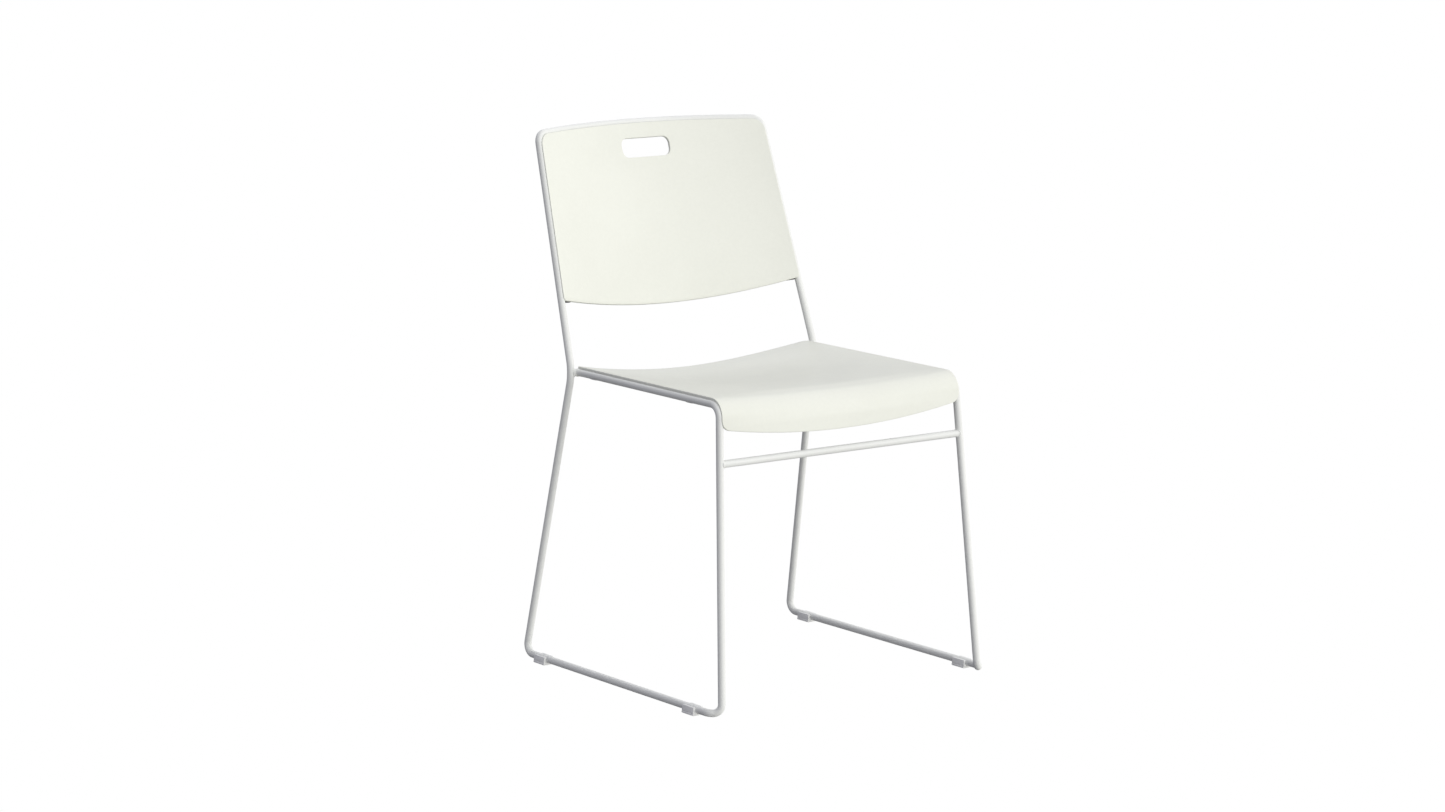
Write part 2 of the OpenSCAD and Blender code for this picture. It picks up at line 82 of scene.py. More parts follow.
RECESS_DEPTH, RECESS_R, RECESS_ARM = 1.5, 2.1, 0.42  # the cross in each screw's head
SEAT_SHANK = 7.9
SCREW_IN, BACK_SCREW_IN = 14.0, 15.0  # screws stand this far inside the rails and the uprights
SHANK_SUNK = 2.0  # a back screw's tip stops this far behind the shell's front face
# a tab reaches TAB_IN inwards of its screw and TAB_OUT outwards, into the rod
TAB_T, TAB_L, TAB_IN, TAB_OUT, TAB_DROP = 2.5, 22.0, 5.0, 11.6, 4.5
TAB_CORNER_R, WELDED_CORNER_R = 4.0, 0.8
CLIP_W, CLIP_IN, CLIP_H, CLIP_T = 18.0, 8.5, 19.0, 7.0

MM = 0.001


def vec(x, y, z):
    return Vector((x, y, z))


def flip(v, side):
    return Vector((v.x * side, v.y, v.z))


def back_point(x, n, s):
    """The back's own axes: x across, n square to the back and to the rear, s up along the lean."""
    return vec(
        x,
        KNEE_Y + s * math.sin(LEAN) + n * math.cos(LEAN),
        KNEE_Z + s * math.cos(LEAN) - n * math.sin(LEAN),
    )


def upright_x(s):
    return KNEE_X - s * TOE_IN


RUNNER_Z = FLOOR_GAP + ROD_R
TOP_X = upright_x(UPRIGHT)
knee = vec(KNEE_X, KNEE_Y, KNEE_Z)
rail_front = vec(RAIL_X, SEAT_FRONT_Y, RAIL_FRONT_Z)
front_foot = vec(FRONT_FOOT_X, FRONT_FOOT_Y, RUNNER_Z)
runner_front = vec(RUNNER_X, FRONT_FOOT_Y + FOOT_TURN, RUNNER_Z)
rear_foot = vec(RUNNER_X, REAR_FOOT_Y, RUNNER_Z)
top_corner = back_point(TOP_X, 0, UPRIGHT)
top_meet = back_point(0, 2 * BACK_SAG, UPRIGHT + 2 * TOP_ARCH)
top_mirror = flip(top_corner, -1)


def turn(a, p, b):
    return (p - a).angle(b - p)


def setback(a, p, b, r):
    return r * math.tan(turn(a, p, b) / 2)


to_knee, to_top = (rear_foot - knee).normalized(), (top_corner - knee).normalized()
knee_mid = knee + (to_knee + to_top).normalized() * KNEE_BEND_R * (
    1 / math.cos(turn(rear_foot, knee, top_corner) / 2) - 1
)
rail_end = vec(RAIL_X, knee_mid.y - ROD_R + RAIL_BITE, RAIL_REAR_Z)
corner_setback = setback(knee, top_corner, top_meet, TOP_CORNER_R)
top_arc_r = ((top_meet - top_corner).length - corner_setback - 0.5) / math.tan(
    turn(top_corner, top_meet, top_mirror) / 2
)


# ---------------------------------------------------------------- meshes
def make_object(name, bm, mat, angle=40.0):
    """Links a bmesh in millimetres as an object in metres, smooth but for edges sharper than angle."""
    bmesh.ops.recalc_face_normals(bm, faces=bm.faces)
    bmesh.ops.scale(bm, vec=(MM, MM, MM), verts=bm.verts)
    mesh = bpy.data.meshes.new(name)
    bm.to_mesh(mesh)
    bm.free()
    for poly in mesh.polygons:
        poly.use_smooth = True
    mesh.set_sharp_from_angle(angle=math.radians(angle))
    mesh.materials.append(mat)
    obj = bpy.data.objects.new(name, mesh)
    scene.collection.objects.link(obj)
    return obj


def stand_for(obj, slot, *nodes):
    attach(obj, "root")
    if nodes:
        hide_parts(*nodes)
    return obj


def bend_rings(a, p, b, r, share=1.0, step=2.5):
    """Rings of [centre, direction] round the bend at p, over a share of its turn."""
    din = (p - a).normalized()
    w = din.cross((b - p).normalized()).normalized()
    inward = w.cross(din)
    centre = p - din * setback(a, p, b, r) + inward * r
    sweep = turn(a, p, b) * share
    steps = max(10, math.ceil(math.degrees(sweep) / step))
    out = []
    for k in range(steps + 1):
        g = sweep * k / steps
        at = centre + (din * math.sin(g) - inward * math.cos(g)) * r
        out.append((at, din * math.cos(g) + inward * math.sin(g)))
    return out


def spaced(rings, longest=24.0):
    """Extra rings along the straights, so that no face is a long sliver."""
    out = [rings[0]]
    for (p, d), (q, e) in zip(rings, rings[1:]):
        parts = max(1, round((q - p).length / longest)) if d.angle(e) < 1e-3 else 1
        for k in range(1, parts):
            out.append((p.lerp(q, k / parts), d))
        out.append((q, e))
    return out


def add_tube(bm, rings, radius, sides=40, side_dir=(0, 0, 1), closed=False, grow=None):
    """A tube through rings, with a side direction carried along so that it doesn't twist."""
    u = Vector(side_dir)
    loops = []
    for i, (c, d) in enumerate(rings):
        u = (u - d * u.dot(d)).normalized()
        v = d.cross(u)
        r = radius if grow is None else radius * grow(i)
        loops.append(
            [
                bm.verts.new(c + (u * math.cos(a) + v * math.sin(a)) * r)
                for a in (2 * math.pi * k / sides for k in range(sides))
            ]
        )
    pairs = list(zip(loops, loops[1:])) + ([(loops[-1], loops[0])] if closed else [])
    for p, q in pairs:
        for k in range(sides):
            l = (k + 1) % sides
            bm.faces.new((p[k], p[l], q[l], q[k]))
    if not closed:
        for loop, rev in ((loops[0], True), (loops[-1], False)):
            bm.faces.new(list(reversed(loop)) if rev else loop)
    return loops


def add_bead(bm, at, axis, main, r_bar, r_main, bead=1.15, side=1.0):
    """A weld bead round the saddle where a bar along axis meets a rod along main at point at."""
    axis = axis.normalized()
    e1 = (main - axis * main.dot(axis)).normalized()
    e2 = axis.cross(e1)
    n = 72
    pts = []
    for k in range(n):
        f = 2 * math.pi * k / n
        reach = math.sqrt(max(r_main**2 - (r_bar * math.sin(f)) ** 2, 0.16 * r_main**2))
        around = (e1 * math.cos(f) + e2 * math.sin(f)) * (r_bar + 0.05)
        pts.append(at - axis * (reach + 0.15) * side + around)
    rings = []
    for k in range(n):
        d = (pts[(k + 1) % n] - pts[k - 1]).normalized()
        rings.append((pts[k], d))

    def grow(i):
        turned = 2 * math.pi * i / n
        return 1 + 0.10 * math.sin(17 * turned) + 0.05 * math.sin(5 * turned + 1.3)

    add_tube(bm, rings, bead, sides=12, side_dir=pts[0] - at, closed=True, grow=grow)


def add_seam(bm, start, end, bead=1.0):
    """A short straight weld bead with rounded ends and the ripples of its passes."""
    d = end - start
    n = 30
    rings = [(start + d * (k / n), d.normalized()) for k in range(n + 1)]

    def grow(i):
        t = i / n
        return max(0.12, math.sqrt(max(0.0, 1 - (2 * t - 1) ** 6))) * (1 + 0.10 * math.sin(i * 1.9))

    side = Vector((0.3, 0.2, 1.0))
    add_tube(bm, rings, bead, sides=12, side_dir=side, grow=grow)


def mirrored(bm):
    """A copy of a bmesh with its X reversed."""
    out = bm.copy()
    for v in out.verts:
        v.co.x = -v.co.x
    bmesh.ops.reverse_faces(out, faces=out.faces)
    return out


# ---------------------------------------------------------------- materials
def node(tree, kind, **values):
    n = tree.nodes.new(kind)
    for key, value in values.items():
        setattr(n, key, value)
    return n


def finish_material(
    name, low, high, rough, rough_span, grain, grain_depth, blotch, metallic=0.0, peel=0.0
):
    """A moulded, painted or metal surface: colour that drifts slowly, uneven gloss, and grain."""
    mat = bpy.data.materials.new(name)
    mat.use_nodes = True
    t = mat.node_tree
    t.nodes.clear()
    out = node(t, "ShaderNodeOutputMaterial")
    bsdf = node(t, "ShaderNodeBsdfPrincipled")
    t.links.new(bsdf.outputs["BSDF"], out.inputs["Surface"])
    bsdf.inputs["Metallic"].default_value = metallic
    coords = node(t, "ShaderNodeTexCoord")

    def noise(scale, detail, roughness=0.55):
        n = node(t, "ShaderNodeTexNoise")
        n.inputs["Scale"].default_value = scale
        n.inputs["Detail"].default_value = detail
        n.inputs["Roughness"].default_value = roughness
        t.links.new(coords.outputs["Object"], n.inputs["Vector"])
        return n

    # colour: two shades that drift over a hand's breadth, with a fine mottle over them
    slow, mottle = noise(blotch, 3.0), noise(blotch * 38, 4.0)
    both = node(t, "ShaderNodeMix", data_type="FLOAT")
    both.inputs[0].default_value = 0.35
    t.links.new(slow.outputs["Fac"], both.inputs[2])
    t.links.new(mottle.outputs["Fac"], both.inputs[3])
    ramp = node(t, "ShaderNodeValToRGB")
    ramp.color_ramp.elements[0].position = 0.34
    ramp.color_ramp.elements[0].color = (*low, 1)
    ramp.color_ramp.elements[1].position = 0.66
    ramp.color_ramp.elements[1].color = (*high, 1)
    t.links.new(both.outputs[0], ramp.inputs["Fac"])
    t.links.new(ramp.outputs["Color"], bsdf.inputs["Base Color"])
    # gloss: rubbed and dull places
    rubbed = noise(blotch * 5, 5.0)
    span = node(t, "ShaderNodeMapRange")
    span.inputs["From Min"].default_value = 0.3
    span.inputs["From Max"].default_value = 0.7
    span.inputs["To Min"].default_value = rough - rough_span
    span.inputs["To Max"].default_value = rough + rough_span
    t.links.new(rubbed.outputs["Fac"], span.inputs["Value"])
    t.links.new(span.outputs["Result"], bsdf.inputs["Roughness"])
    # grain: spark-eroded pits, or the orange peel of a powder coat
    pits = node(t, "ShaderNodeTexVoronoi", feature="SMOOTH_F1")
    pits.inputs["Scale"].default_value = grain
    pits.inputs["Smoothness"].default_value = 0.8
    t.links.new(coords.outputs["Object"], pits.inputs["Vector"])
    fine = noise(grain * 1.7, 3.0)
    mixed = node(t, "ShaderNodeMix", data_type="FLOAT")
    mixed.inputs[0].default_value = 0.5
    t.links.new(pits.outputs["Distance"], mixed.inputs[2])
    t.links.new(fine.outputs["Fac"], mixed.inputs[3])
    bump = node(t, "ShaderNodeBump")
    bump.inputs["Strength"].default_value = 0.6
    bump.inputs["Distance"].default_value = grain_depth
    t.links.new(mixed.outputs[0], bump.inputs["Height"])
    last = bump
    if peel:
        wave = noise(grain * 0.22, 1.5)
        soft = node(t, "ShaderNodeBump")
        soft.inputs["Strength"].default_value = 0.5
        soft.inputs["Distance"].default_value = peel
        t.links.new(wave.outputs["Fac"], soft.inputs["Height"])
        t.links.new(bump.outputs["Normal"], soft.inputs["Normal"])
        last = soft
    t.links.new(last.outputs["Normal"], bsdf.inputs["Normal"])
    return mat


paint = finish_material(
    "white_powder_coat",
    (0.78, 0.785, 0.765),
    (0.84, 0.845, 0.825),
    0.38, 0.05, 1500, 0.000012, 7, peel=0.00002,
)
shell_mat = finish_material(
    "warm_white_moulded_plastic", (0.79, 0.795, 0.725), (0.83, 0.835, 0.765), 0.46, 0.05, 1900, 0.00005, 5
)
glide_mat = finish_material(
    "white_nylon", (0.86, 0.86, 0.85), (0.91, 0.91, 0.90), 0.42, 0.06, 1300, 0.00004, 30
)
clip_mat = finish_material(
    "black_plastic", (0.008, 0.008, 0.008), (0.016, 0.016, 0.016), 0.5, 0.08, 1400, 0.00006, 30
)
screw_mat = finish_material(
    "zinc_plated_steel", (0.50, 0.50, 0.49), (0.66, 0.66, 0.64), 0.32, 0.08, 2600, 0.00002, 60, metallic=1.0
)

# ---------------------------------------------------------------- frame rods
path = [rail_end, rail_front, front_foot, runner_front, rear_foot, knee, top_corner, top_meet]
bends = [0, SEAT_BEND_R, FOOT_BEND_R, FOOT_TURN_R, REAR_FOOT_R, KNEE_BEND_R, TOP_CORNER_R, top_arc_r]
half_rings = [(rail_end, (rail_front - rail_end).normalized())]
for i in range(1, len(path)):
    after = path[i + 1] if i + 1 < len(path) else top_mirror
    half = i + 1 == len(path)
    share, step = (0.5, 0.8) if half else (1.0, 2.5)
    half_rings += bend_rings(path[i - 1], path[i], after, bends[i], share, step)
half_rings = spaced(half_rings)


def rail_z(y):
    return RAIL_FRONT_Z + (y - SEAT_FRONT_Y) * (RAIL_REAR_Z - RAIL_FRONT_Z) / (rail_end.y - SEAT_FRONT_Y)


def on_leg(z):
    return rail_front + (front_foot - rail_front) * ((RAIL_FRONT_Z - z) / (RAIL_FRONT_Z - RUNNER_Z))


SCREW_X = RAIL_X - SCREW_IN
rod = bmesh.new()
add_tube(rod, half_rings, ROD_R, sides=48)
# tab welds run with the rod, on top of and under each tab's outer edge
for y in (FRONT_TAB_Y, REAR_TAB_Y):
    z = rail_z(y) - TAB_DROP
    for dz in (1, -1):
        drop = TAB_DROP - dz * TAB_T / 2
        dx = math.sqrt(ROD_R**2 - drop**2) if drop < ROD_R else 1.0
        at = vec(RAIL_X - dx, y, z + dz * TAB_T / 2)
        add_seam(rod, at - vec(0, TAB_L / 2 - 2, 0), at + vec(0, TAB_L / 2 - 2, 0), 0.8)
left_rod = mirrored(rod)
stand_for(make_object("right_frame_rod_look", rod, paint), "frame_paint", "right_frame_rod")
stand_for(make_object("left_frame_rod_look", left_rod, paint), "frame_paint", "left_frame_rod")

# ---------------------------------------------------------------- crossbars, with their weld beads
bm = bmesh.new()
end = on_leg(CROSSBAR_Z)
start = flip(end, -1)
along = (end - start).normalized()
add_tube(bm, spaced([(start + along, along), (end - along, along)]), ROD_R - 0.001, sides=48)
for side in (1, -1):
    add_bead(bm, flip(end, side), vec(side, 0, 0), flip(front_foot - rail_front, side), ROD_R, ROD_R, 0.95)
stand_for(make_object("front_crossbar_look", bm, paint), "frame_paint", "front_crossbar")

REAR_SAG, BAR_BLEND = DISH_REAR + FIT_GAP, 6.0


def bar_drop(x):
    e = RAIL_X - abs(x)
    s = e if e > BAR_BLEND else 0 if e < -BAR_BLEND else (e + BAR_BLEND) ** 2 / (4 * BAR_BLEND)
    return REAR_SAG * (1 - (1 - s / RAIL_X) ** 2)


def bar_at(x):
    return vec(x, knee_mid.y, KNEE_Z - bar_drop(x))


bm = bmesh.new()
bar_rings = []
for i in range(121):
    u = 2 * i / 120 - 1
    x = (knee_mid.x - 1) * (u + math.sin(math.pi / 2 * u)) / 2
    bar_rings.append((bar_at(x), (bar_at(x + 0.5) - bar_at(x - 0.5)).normalized()))
add_tube(bm, bar_rings, ROD_R, sides=48, side_dir=(0, 1, 0))
for side in (1, -1):
    upright_dir = flip(top_corner - rear_foot, side)
    at = vec(side * knee_mid.x, knee_mid.y, KNEE_Z)
    add_bead(bm, at, vec(side, 0, 0), upright_dir, ROD_R, ROD_R, 1.0)
    at = vec(side * RAIL_X, knee_mid.y, KNEE_Z)
    add_bead(bm, at, vec(0, 1, 0), vec(1, 0, 0), ROD_R, ROD_R, 0.9)
stand_for(make_object("rear_crossbar_look", bm, paint), "frame_paint", "rear_crossbar")

# ---------------------------------------------------------------- moulded shells
SEAT_LIP, BACK_LIP = 0.6, 0.5
# The lip's section, from the front face to the rear: (share of its reach outwards, share of the depth)
LIP_ANGLES = [math.radians(15 * k) for k in range(1, 7)]
LIP_SECTION = [(math.sin(a), 0.66 * (1 - math.cos(a))) for a in LIP_ANGLES] + [
    (1.0, 0.86),
    (0.93, 0.95),
    (0.72, 1.0),
]


def lip(bm, front, rear, inwards, reach):
    """Joins two closed loops of vertices with a rounded lip that bulges away from inwards."""
    n = len(front)
    columns = []
    for k in range(n):
        f, r = front[k].co, rear[k].co
        tangent = (front[(k + 1) % n].co - front[k - 1].co).normalized()
        depth = r - f
        out = tangent.cross(depth).normalized()
        if out.dot(inwards(f)) > 0:
            out.negate()
        between = [bm.verts.new(f + out * reach * o + depth * d) for o, d in LIP_SECTION]
        columns.append([front[k]] + between + [rear[k]])
    for k in range(n):
        p, q = columns[k], columns[(k + 1) % n]
        for a in range(len(p) - 1):
            bm.faces.new((p[a], q[a], q[a + 1], p[a + 1]))


def corner_cut(x, half, r):
    e = max(0.0, x - (half - r))
    return r - math.sqrt(max(0.0, r * r - e * e))


def smooth(u):
    v = max(0.0, min(1.0, u))
    return v * v * (3 - 2 * v)


def edge_stations(half, r, middle, steps):
    """Shares of the half width: even over the middle, then round the corner's radius r in equal angles."""
    inner = 1 - r / half
    mid = [-inner + 2 * inner * k / middle for k in range(middle + 1)]
    arc = [inner + (1 - inner) * math.sin(math.pi / 2 * k / steps) for k in range(1, steps + 1)]
    return [-a for a in reversed(arc)] + mid + arc


# ---- seat
LEG_ANGLE = math.atan2(RAIL_FRONT_Z - RUNNER_Z, SEAT_FRONT_Y - FRONT_FOOT_Y)
RAIL_ANGLE = math.atan2(RAIL_REAR_Z - RAIL_FRONT_Z, rail_end.y - SEAT_FRONT_Y)
SEAT_TURN = LEG_ANGLE + RAIL_ANGLE
seat_setback = SEAT_BEND_R * math.tan(SEAT_TURN / 2)
bend_len = SEAT_BEND_R * SEAT_TURN
rail_len = (rail_end - rail_front).length - seat_setback
rail_dir = np.array([-math.cos(RAIL_ANGLE), -math.sin(RAIL_ANGLE)])
rail_out = np.array([-math.sin(RAIL_ANGLE), math.cos(RAIL_ANGLE)])
bend_at = np.array([SEAT_FRONT_Y, RAIL_FRONT_Z]) - rail_dir * seat_setback


def dir_at(a):
    return rail_dir * math.cos(a) - rail_out * math.sin(a)


def out_at(a):
    return rail_out * math.cos(a) + rail_dir * math.sin(a)


def seat_angle(d):
    return max(0.0, min(SEAT_TURN, d / bend_len * SEAT_TURN))


def seat_at(d):
    if d <= 0:
        return bend_at + rail_dir * d
    a = seat_angle(d)
    p = bend_at - rail_out * SEAT_BEND_R + out_at(a) * SEAT_BEND_R
    return p if d <= bend_len else p + dir_at(a) * (d - bend_len)


leg_spread = (FRONT_FOOT_X - RAIL_X) / (front_foot - rail_front).length


def seat_rod_x(d):
    return RAIL_X + max(0.0, d - bend_len / 2) * leg_spread


def ease_at(d):
    v = min(1.0, abs(d - bend_len / 2) / (bend_len / 2 + EASE_LEN))
    return FRONT_EASE * (1 - v * v) ** 2


def dish_at(d):
    fade = max(0.0, min(1.0, 1 - d / bend_len))
    return DISH_FRONT * fade + (DISH_REAR - DISH_FRONT) * smooth(-d / rail_len) + ease_at(d)


over_bar = KNEE_Z + ROD_R + FIT_GAP + SHELL_T - RAIL_REAR_Z


def off_at(d):
    return over_bar + (SHELL_OFF - over_bar) * smooth(d / bend_len)


seat_half = RAIL_X + EDGE_OVER - SEAT_LIP
apron_half = seat_rod_x(bend_len + APRON_SIDE) + EDGE_OVER - SEAT_LIP


def rear_end(t):
    y = SEAT_REAR_Y - SEAT_LIP
    return (
        (bend_at[0] - y) / math.cos(RAIL_ANGLE)
        - REAR_BOW * (1 - abs(t) ** 3)
        + corner_cut(abs(t) * seat_half, seat_half, SEAT_CORNER_R - SEAT_LIP)
    )


def front_end(t):
    d = bend_len + APRON_SIDE - seat_setback - SEAT_LIP
    corner = corner_cut(abs(t) * apron_half, apron_half, APRON_CORNER_R - SEAT_LIP)
    return d + APRON_BOW * (1 - t * t) - corner


across = edge_stations(seat_half, APRON_CORNER_R - SEAT_LIP, 60, 12)
SEAT_ROWS, BEND_ROWS, APRON_ROWS = 60, 20, 16


def row_d(j, t):
    if j <= SEAT_ROWS:
        return rear_end(t) * (1 - (j / SEAT_ROWS) ** 1.25)
    if j <= SEAT_ROWS + BEND_ROWS:
        return bend_len * (j - SEAT_ROWS) / BEND_ROWS
    return bend_len + (front_end(t) - bend_len) * (j - SEAT_ROWS - BEND_ROWS) / APRON_ROWS


def seat_point(j, t, under):
    d = row_d(j, t)
    rod_x = seat_rod_x(d)
    x = t * (rod_x + EDGE_OVER - SEAT_LIP)
    share = x / (rod_x + EDGE_OVER)
    dish = dish_at(d) * (1 - share * share)
    depth = dish
    if under:
        depth = dish + SHELL_T
        e = abs(abs(x) - rod_x)
        if e < GROOVE_R:
            depth = min(depth, off_at(d) - math.sqrt(GROOVE_R**2 - e * e))
    y, z = seat_at(d) + out_at(seat_angle(d)) * (off_at(d) - depth)
    return vec(x, float(y), float(z))


def grid(bm, rows, cols, point):
    return [[bm.verts.new(point(j, i)) for i in range(cols)] for j in range(rows)]


def grid_faces(bm, g, skip=lambda j, i: False):
    for j in range(len(g) - 1):
        for i in range(len(g[0]) - 1):
            if not skip(j, i):
                bm.faces.new((g[j][i], g[j][i + 1], g[j + 1][i + 1], g[j + 1][i]))


def rim(g):
    """The closed loop of vertices round a grid."""
    return (
        list(g[0])
        + [row[-1] for row in g[1:]]
        + list(reversed(g[-1][:-1]))
        + [row[0] for row in reversed(g[1:-1])]
    )


def add_boss(bm, base, axis, length, r_out, r_in, foot=1.6):
    """A hollow boss with a fillet where it leaves the wall, open at its far end."""
    axis = axis.normalized()
    u = axis.orthogonal().normalized()
    v = axis.cross(u)
    section = [
        (r_out + foot, -0.6),
        (r_out + foot, 0.0),
        (r_out + foot * 0.45, foot * 0.25),
        (r_out + foot * 0.12, foot * 0.62),
        (r_out, foot * 1.2),
        (r_out - 0.15, length - 0.5),
        (r_out - 0.6, length),
        (r_in + 0.3, length),
        (r_in, length - 0.4),
        (r_in, -0.6),
    ]
    loops = [
        [
            bm.verts.new(base + axis * h + (u * math.cos(a) + v * math.sin(a)) * r)
            for a in (2 * math.pi * k / BOSS_SIDES for k in range(BOSS_SIDES))
        ]
        for r, h in section
    ]
    for p, q in zip(loops, loops[1:] + [loops[0]]):
        for k in range(BOSS_SIDES):
            l = (k + 1) % BOSS_SIDES
            bm.faces.new((p[k], p[l], q[l], q[k]))


bm = bmesh.new()
rows = SEAT_ROWS + BEND_ROWS + APRON_ROWS + 1
top = grid(bm, rows, len(across), lambda j, i: seat_point(j, across[i], False))
low = grid(bm, rows, len(across), lambda j, i: seat_point(j, across[i], True))
grid_faces(bm, top)
grid_faces(bm, low)


def seat_inwards(p):
    """Towards the middle of the shell, along its surface."""
    if p.z < RAIL_FRONT_Z - 20 and abs(p.x) < RAIL_X - 6:
        return vec(0, 0, 1)
    if p.z < RAIL_FRONT_Z - 4:
        return vec(-p.x, 0, 40)
    return vec(-p.x, -p.y - 40, 0)


lip(bm, rim(top), rim(low), seat_inwards, SEAT_LIP)
for side in (1, -1):
    for y in (FRONT_TAB_Y, REAR_TAB_Y):
        d = -(y - bend_at[0]) / math.cos(RAIL_ANGLE)
        share = SCREW_X / (RAIL_X + EDGE_OVER)
        wall = rail_z(y) + off_at(d) - dish_at(d) * (1 - share * share) - SHELL_T
        tab_top = rail_z(y) - TAB_DROP + TAB_T / 2
        length = wall - tab_top - JOINT_GAP
        at = vec(side * SCREW_X, y, wall)
        add_boss(bm, at, vec(0, 0, -1), length, BOSS_R, SCREW_R + JOINT_GAP, 1.4)
stand_for(make_object("seat_shell_look", bm, shell_mat, 50), "shell_plastic", "seat_shell")

# ---- back
curve_r = (TOP_X**2 + BACK_SAG**2) / (2 * BACK_SAG)
TOP_S = UPRIGHT - TOP_IN


def back_half(s):
    return upright_x(s) - BACK_IN - BACK_LIP


def top_edge(t):
    half = back_half(TOP_S)
    corner = corner_cut(abs(t) * half, half, TOP_OUTLINE_R - BACK_LIP)
    return TOP_S - BACK_LIP + TOP_ARCH * (1 - t * t) - corner


def low_edge(t):
    half = back_half(BACK_LOW)
    corner = corner_cut(abs(t) * half, half, LOW_OUTLINE_R - BACK_LIP)
    return BACK_LOW + BACK_LIP - LOW_BOW * (1 - t * t) + corner


# the rods' line in the back's own axes, to seat the shell on them
loop_rings = (
    bend_rings(knee, top_corner, top_meet, TOP_CORNER_R, 1, 5)
    + bend_rings(top_corner, top_meet, top_mirror, top_arc_r, 1, 0.5)
    + bend_rings(top_meet, top_mirror, flip(knee, -1), TOP_CORNER_R, 1, 5)
)


def into_back(p):
    dy, dz = p.y - KNEE_Y, p.z - KNEE_Z
    return (p.x, dy * math.cos(LEAN) - dz * math.sin(LEAN), dy * math.sin(LEAN) + dz * math.cos(LEAN))


line = [into_back(knee)] + [into_back(p) for p, _ in loop_rings] + [into_back(flip(knee, -1))]
line = np.array(line)
seg_a, seg_b = line[:-1], line[1:]


def face_n(x, s, depth):
    """Both faces are arcs about one axis, which shifts with s so that the edges follow the uprights."""
    axis_n = -BACK_OFF - math.sqrt(curve_r**2 - upright_x(s) ** 2)
    return axis_n + math.sqrt((curve_r + depth) ** 2 - x * x)


def back_rear_n(x, s):
    """The rear face, drawn forward where it seats on a rod."""
    p = np.array([x, s])
    a, b = seg_a[:, [0, 2]], seg_b[:, [0, 2]]
    ab = b - a
    k = np.clip(((p - a) * ab).sum(1) / np.maximum((ab * ab).sum(1), 1e-9), 0, 1)
    gap = np.linalg.norm(a + ab * k[:, None] - p, axis=1)
    i = int(gap.argmin())
    n = face_n(x, s, SHELL_T)
    if gap[i] < GROOVE_R:
        rod_n = seg_a[i, 1] + (seg_b[i, 1] - seg_a[i, 1]) * k[i]
        n = min(n, rod_n - math.sqrt(GROOVE_R**2 - gap[i] ** 2))
    return max(n, face_n(x, s, 0.9))


BACK_MID, BACK_ARC = 96, 12
back_across = edge_stations(back_half(TOP_S), TOP_OUTLINE_R - BACK_LIP, BACK_MID, BACK_ARC)
NEAR_TOP = [0, 0.6, 1.8, 3.2, 4.6, 6.0, 7.4, 9.0, 11.5, 15.0]
BODY_ROWS = 56


def back_xs(j, i):
    t = back_across[i]
    if j < len(NEAR_TOP):
        s = top_edge(t) - NEAR_TOP[j]
    else:
        s0 = top_edge(t) - NEAR_TOP[-1]
        s = s0 + (low_edge(t) - s0) * (j - len(NEAR_TOP) + 1) / BODY_ROWS
    return t * back_half(s), s


back_rows = len(NEAR_TOP) + BODY_ROWS
cols = len(back_across)
places = [[back_xs(j, i) for i in range(cols)] for j in range(back_rows)]
mid = cols // 2
mid_s = [places[j][mid][1] for j in range(back_rows)]
# the block of faces round the hand hole, replaced by rings that turn into its outline
c0 = min(i for i in range(cols) if places[12][i][0] > -(HOLE_W / 2 + 11))
c1 = cols - 1 - c0
r0 = max(j for j in range(back_rows) if mid_s[j] > HOLE_S + HOLE_H / 2 + 6)
r1 = min(j for j in range(back_rows) if mid_s[j] < HOLE_S - HOLE_H / 2 - 8)


def in_block(j, i):
    return c0 <= i < c1 and r0 <= j < r1


def block_rim(g):
    """The block's edge: along its top, down its right, back along its bottom, up its left."""
    top_side = [g[r0][i] for i in range(c0, c1)]
    right = [g[j][c1] for j in range(r0, r1)]
    bottom = [g[r1][i] for i in range(c1, c0, -1)]
    left = [g[j][c0] for j in range(r1, r0, -1)]
    return top_side + right + bottom + left


def slot_side(count, straight):
    """Points from the middle of one corner's arc to the middle of the next, crowded on the arcs."""
    arc = max(3, round(count * (0.27 if straight > 20 else 0.38)))
    pts = []
    for k in range(count):
        if k < arc:
            a = math.radians(45 * (1 - k / arc))
            pts.append((-straight / 2 - HOLE_R * math.sin(a), HOLE_R * math.cos(a)))
        elif k <= count - arc:
            pts.append((-straight / 2 + straight * (k - arc) / (count - 2 * arc), HOLE_R))
        else:
            a = math.radians(45 * (k - (count - arc)) / arc)
            pts.append((straight / 2 + HOLE_R * math.sin(a), HOLE_R * math.cos(a)))
    return pts


def hole_rim(grow):
    """The slot's outline, in step with block_rim, drawn out by grow."""
    w, h = HOLE_W - 2 * HOLE_R, HOLE_H - 2 * HOLE_R
    k = (HOLE_R + grow) / HOLE_R
    out = []
    for count, straight, off, turn_by in (
        (c1 - c0, w, h / 2, 0),
        (r1 - r0, h, w / 2, 90),
        (c1 - c0, w, h / 2, 180),
        (r1 - r0, h, w / 2, 270),
    ):
        a = math.radians(-turn_by)
        for p, q in slot_side(count, straight):
            straight_part = max(-straight / 2, min(straight / 2, p))
            p = straight_part + (p - straight_part) * k
            q = q * k + off
            out.append((p * math.cos(a) - q * math.sin(a), HOLE_S + p * math.sin(a) + q * math.cos(a)))
    return out


